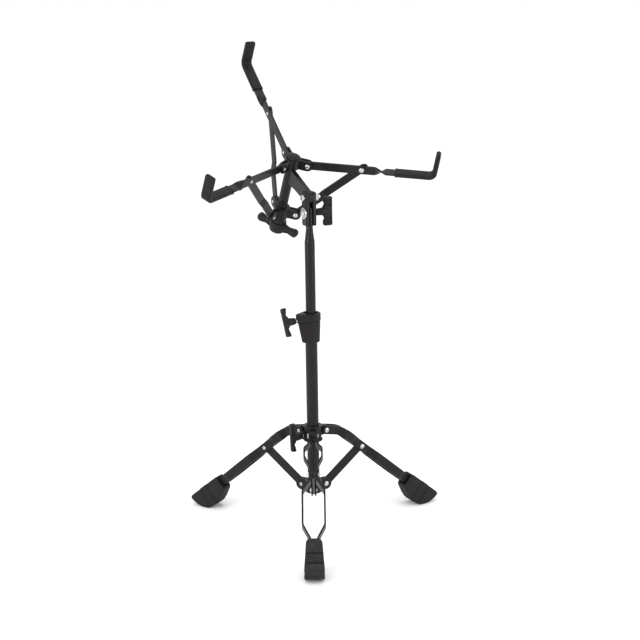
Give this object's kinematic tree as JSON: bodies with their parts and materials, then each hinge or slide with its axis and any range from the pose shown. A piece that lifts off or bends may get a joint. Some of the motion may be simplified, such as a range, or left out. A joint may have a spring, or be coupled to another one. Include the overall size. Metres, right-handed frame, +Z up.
{
  "type": "snare drum stand",
  "caption": "Folding black steel snare drum stand with a braced tripod, sliding mast, tilting offset bracket and a basket of rubber-tipped arms closed by a wing nut",
  "frame": {"origin": "on the floor, under the main tube's axis", "axes": "+Z up along the main tube, -Y along the near leg, +X to the right as seen from the near leg's side"},
  "size_m": [0.4112, 0.4462, 0.7536],
  "materials": {
    "black_steel": "semi-gloss black powder coat",
    "black_plastic": "satin black moulded",
    "rubber": "satin black rubber",
    "zinc": "bright zinc plate",
    "nylon": "natural matte black nylon",
    "brass": "plain turned"
  },
  "bodies": {
    "base": {"lower_tube": "black_steel", "tube_end_cap": "black_plastic", "collar_bushing": "nylon", "height_collar": "black_plastic", "height_pressure_shoe": "brass", "lower_brace_collar": "black_steel", "lower_brace_rivets": "zinc"},
    "height_screw": {"height_screw": "zinc", "height_wing_grip": "black_plastic"},
    "leg_collar": {"upper_leg_collar": "black_steel", "leg_collar_rivets": "zinc"},
    "tripod_screw": {"tripod_screw": "zinc", "tripod_wing_grip": "black_plastic"},
    "mast": {"upper_tube": "black_steel", "left_tilter_cheek": "black_steel", "right_tilter_cheek": "black_steel", "tilt_pivot_bolt": "zinc", "tilt_pivot_nut": "zinc", "tilt_bolt": "zinc", "tilt_bolt_washer": "zinc"},
    "tilt_nut": {"tilt_wing_nut": "black_plastic"},
    "basket": {"basket_bracket": "black_steel", "basket_post": "black_steel", "basket_hub": "black_steel", "hub_cap": "black_plastic", "hub_rivets": "zinc"},
    "slider": {"basket_slider": "black_steel", "basket_slider_rivets": "zinc"},
    "basket_nut": {"basket_nut": "black_plastic"},
    "right_leg": {"right_leg_front_strip": "black_steel", "right_leg_back_strip": "black_steel", "right_foot": "rubber", "right_leg_rivet": "zinc", "right_leg_washers": "nylon"},
    "right_brace": {"right_brace": "black_steel"},
    "left_leg": {"left_leg_front_strip": "black_steel", "left_leg_back_strip": "black_steel", "left_foot": "rubber", "left_leg_rivet": "zinc", "left_leg_washers": "nylon"},
    "left_brace": {"left_brace": "black_steel"},
    "near_leg": {"near_leg_front_strip": "black_steel", "near_leg_back_strip": "black_steel", "near_foot": "rubber", "near_leg_rivet": "zinc", "near_leg_washers": "nylon"},
    "near_brace": {"near_brace": "black_steel"},
    "right_arm": {"right_arm": "black_steel", "right_arm_sleeve": "rubber", "right_arm_rivet": "zinc"},
    "right_link": {"right_link": "black_steel"},
    "back_arm": {"back_arm": "black_steel", "back_arm_sleeve": "rubber", "back_arm_rivet": "zinc"},
    "back_link": {"back_link": "black_steel"},
    "left_arm": {"left_arm": "black_steel", "left_arm_sleeve": "rubber", "left_arm_rivet": "zinc"},
    "left_link": {"left_link": "black_steel"}
  },
  "joints": [
    {"name": "mast_height", "type": "slide", "parent": "base", "child": "mast", "axis": [0, 0, 1], "range_m": [-0.12, 0.06]},
    {"name": "height_screw_turn", "type": "hinge", "parent": "base", "child": "height_screw", "pos_m": [-0.02425, -0.014, 0.346], "axis": [-0.866, -0.5, 0], "range_deg": [0, 720]},
    {"name": "leg_collar_slide", "type": "slide", "parent": "base", "child": "leg_collar", "axis": [0, 0, 1], "range_m": [0, 0.06698]},
    {"name": "tripod_screw_turn", "type": "hinge", "parent": "leg_collar", "child": "tripod_screw", "pos_m": [-0.01732, -0.01, 0.157], "axis": [-0.866, -0.5, 0], "range_deg": [0, 720]},
    {"name": "right_leg_fold", "type": "hinge", "parent": "leg_collar", "child": "right_leg", "pos_m": [0.01862, 0.01075, 0.161], "axis": [-0.5, 0.866, 0], "range_deg": [-0.01, 48.91]},
    {"name": "right_brace_fold", "type": "hinge", "parent": "base", "child": "right_brace", "pos_m": [0.01819, 0.0105, 0.07], "axis": [0.5, -0.866, 0], "range_deg": [-0.01, 43.06]},
    {"name": "left_leg_fold", "type": "hinge", "parent": "leg_collar", "child": "left_leg", "pos_m": [-0.01862, 0.01075, 0.161], "axis": [-0.5, -0.866, 0], "range_deg": [-0.01, 48.91]},
    {"name": "left_brace_fold", "type": "hinge", "parent": "base", "child": "left_brace", "pos_m": [-0.01819, 0.0105, 0.07], "axis": [0.5, 0.866, 0], "range_deg": [-0.01, 43.06]},
    {"name": "near_leg_fold", "type": "hinge", "parent": "leg_collar", "child": "near_leg", "pos_m": [0, -0.0215, 0.161], "axis": [1, 0, 0], "range_deg": [-0.01, 48.91]},
    {"name": "near_brace_fold", "type": "hinge", "parent": "base", "child": "near_brace", "pos_m": [0, -0.021, 0.07], "axis": [-1, 0, 0], "range_deg": [-0.01, 43.06]},
    {"name": "basket_tilt", "type": "hinge", "parent": "mast", "child": "basket", "pos_m": [0, 0, 0.537], "axis": [0.9063, 0.4226, 0], "range_deg": [-38, 50]},
    {"name": "tilt_nut_turn", "type": "hinge", "parent": "mast", "child": "tilt_nut", "pos_m": [0.01813, 0.00845, 0.5132], "axis": [0.9063, 0.4226, 0], "range_deg": [0, 720]},
    {"name": "slider_lift", "type": "slide", "parent": "basket", "child": "slider", "axis": [0.2017, -0.4325, 0.8788], "range_m": [0, 0.03801]},
    {"name": "basket_nut_turn", "type": "hinge", "parent": "slider", "child": "basket_nut", "pos_m": [-0.04996, 0.10714, 0.47548], "axis": [0.2017, -0.4325, 0.8788], "range_deg": [-0.1, 4562.14]},
    {"name": "right_arm_fold", "type": "hinge", "parent": "basket", "child": "right_arm", "pos_m": [-0.00168, 0.05359, 0.57688], "axis": [-0.1315, -0.9011, -0.4132], "range_deg": [-0.01, 53.02]},
    {"name": "right_link_fold", "type": "hinge", "parent": "slider", "child": "right_link", "pos_m": [-0.02201, 0.09556, 0.49182], "axis": [-0.1315, -0.9011, -0.4132], "range_deg": [-0.01, 20.61]},
    {"name": "back_arm_fold", "type": "hinge", "parent": "basket", "child": "back_arm", "pos_m": [-0.03442, 0.07381, 0.59434], "axis": [0.9063, 0.4226, 0], "range_deg": [-0.01, 53.02]},
    {"name": "back_link_fold", "type": "hinge", "parent": "slider", "child": "back_link", "pos_m": [-0.05368, 0.11512, 0.50872], "axis": [0.9063, 0.4226, 0], "range_deg": [-0.01, 20.61]},
    {"name": "left_arm_fold", "type": "hinge", "parent": "basket", "child": "left_arm", "pos_m": [-0.03998, 0.03573, 0.57688], "axis": [-0.7748, 0.4785, 0.4132], "range_deg": [-0.01, 53.02]},
    {"name": "left_link_fold", "type": "hinge", "parent": "slider", "child": "left_link", "pos_m": [-0.05906, 0.07829, 0.49182], "axis": [-0.7748, 0.4785, 0.4132], "range_deg": [-0.01, 20.61]}
  ],
  "couplings": [
    {"joint": "right_leg_fold", "follows": "leg_collar_slide", "rad_per_m": 12.743},
    {"joint": "right_brace_fold", "follows": "leg_collar_slide", "rad_per_m": 11.218},
    {"joint": "left_leg_fold", "follows": "leg_collar_slide", "rad_per_m": 12.743},
    {"joint": "left_brace_fold", "follows": "leg_collar_slide", "rad_per_m": 11.218},
    {"joint": "near_leg_fold", "follows": "leg_collar_slide", "rad_per_m": 12.743},
    {"joint": "near_brace_fold", "follows": "leg_collar_slide", "rad_per_m": 11.218},
    {"joint": "basket_nut_turn", "follows": "slider_lift", "rad_per_m": 2094.4},
    {"joint": "right_arm_fold", "follows": "slider_lift", "rad_per_m": 24.337},
    {"joint": "right_link_fold", "follows": "slider_lift", "rad_per_m": 9.4567},
    {"joint": "back_arm_fold", "follows": "slider_lift", "rad_per_m": 24.337},
    {"joint": "back_link_fold", "follows": "slider_lift", "rad_per_m": 9.4567},
    {"joint": "left_arm_fold", "follows": "slider_lift", "rad_per_m": 24.337},
    {"joint": "left_link_fold", "follows": "slider_lift", "rad_per_m": 9.4567}
  ]
}
